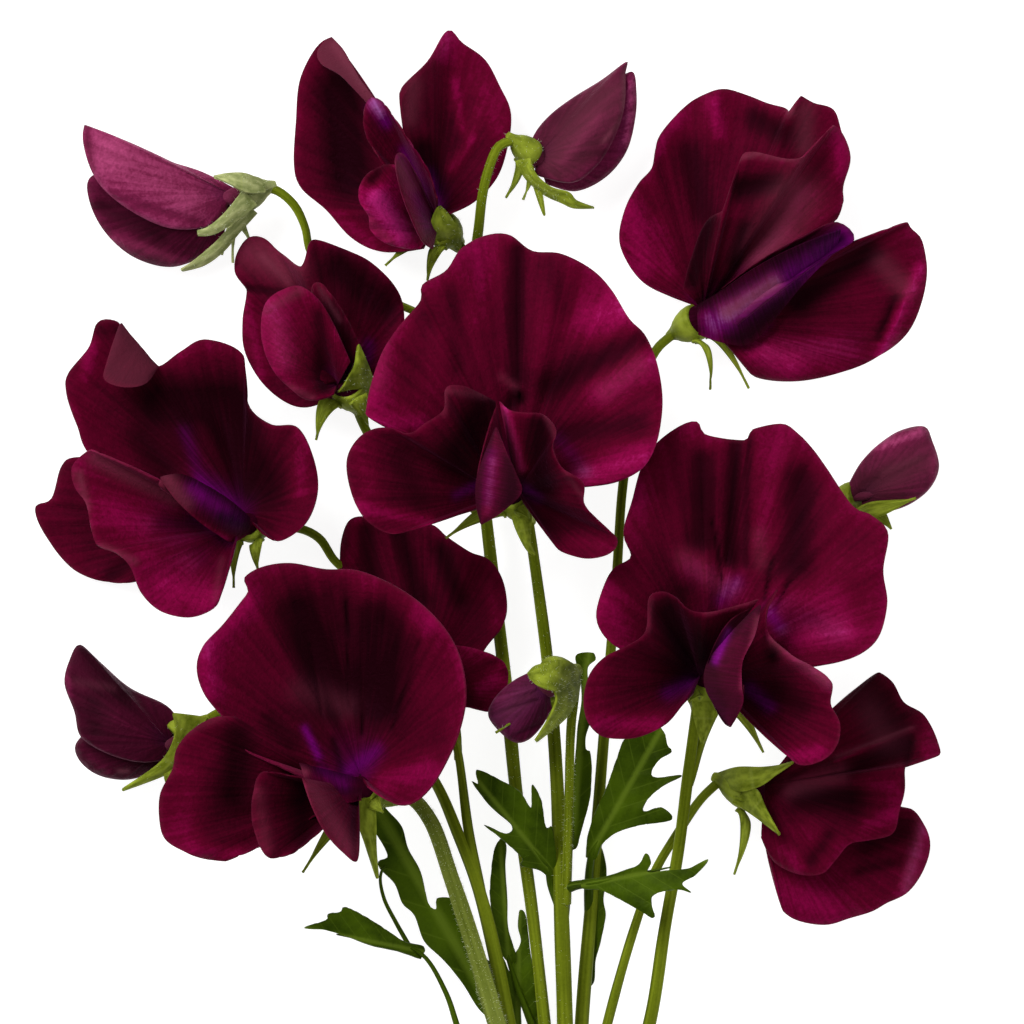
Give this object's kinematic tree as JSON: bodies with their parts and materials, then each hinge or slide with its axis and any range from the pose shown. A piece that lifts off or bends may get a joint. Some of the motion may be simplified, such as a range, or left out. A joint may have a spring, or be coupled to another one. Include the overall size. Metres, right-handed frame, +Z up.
{
  "type": "sweet pea flower stem",
  "caption": "Cut, branching sweet pea stem with open ruffled blooms, closed buds and lobed leaves, lying face up on a flat surface.",
  "frame": {"origin": "on the surface that the stem lies on, under the middle of its outline: midway between the outermost petals, and midway between the top petal and the cut end", "axes": "+Z up from the surface, +Y along the stem from the cut end to the blooms, +X to the right as seen from above with the blooms away from the viewer"},
  "size_m": [0.1446, 0.2339, 0.0439],
  "materials": {
    "stem": null,
    "leaf": null,
    "petal": null,
    "bud": null
  },
  "bodies": {
    "root": {"flower_stem": "stem", "leaf_right_front": "leaf", "leaf_left_front": "leaf", "leaf_right_back": "leaf", "leaf_left_long": "leaf", "leaf_left_low": "leaf", "leaf_narrow": "leaf", "leaf_tall_back": "leaf", "centre_bloom_keel": "petal", "centre_bloom_wing_left": "petal", "centre_bloom_wing_right": "petal", "centre_bloom_standard": "petal", "right_bloom_keel": "petal", "right_bloom_wing_left": "petal", "right_bloom_wing_right": "petal", "right_bloom_standard": "petal", "lower_left_bloom_keel": "petal", "lower_left_bloom_wing_left": "petal", "lower_left_bloom_wing_right": "petal", "lower_left_bloom_standard": "petal", "left_bloom_keel": "petal", "left_bloom_wing_left": "petal", "left_bloom_wing_right": "petal", "left_bloom_standard": "petal", "middle_left_bloom_keel": "petal", "middle_left_bloom_wing_left": "petal", "middle_left_bloom_wing_right": "petal", "middle_left_bloom_standard": "petal", "top_bloom_keel": "petal", "top_bloom_wing_left": "petal", "top_bloom_wing_right": "petal", "top_bloom_standard": "petal", "upper_right_bloom_keel": "petal", "upper_right_bloom_wing_left": "petal", "upper_right_bloom_wing_right": "petal", "upper_right_bloom_standard": "petal", "lower_right_bloom_keel": "petal", "lower_right_bloom_wing_left": "petal", "lower_right_bloom_wing_right": "petal", "lower_right_bloom_standard": "petal", "back_bloom_keel": "petal", "back_bloom_wing_left": "petal", "back_bloom_wing_right": "petal", "back_bloom_standard": "petal", "upper_left_bud": "bud", "top_right_bud": "bud", "right_bud": "bud", "lower_left_bud": "bud", "centre_bud": "bud"}
  },
  "joints": []
}
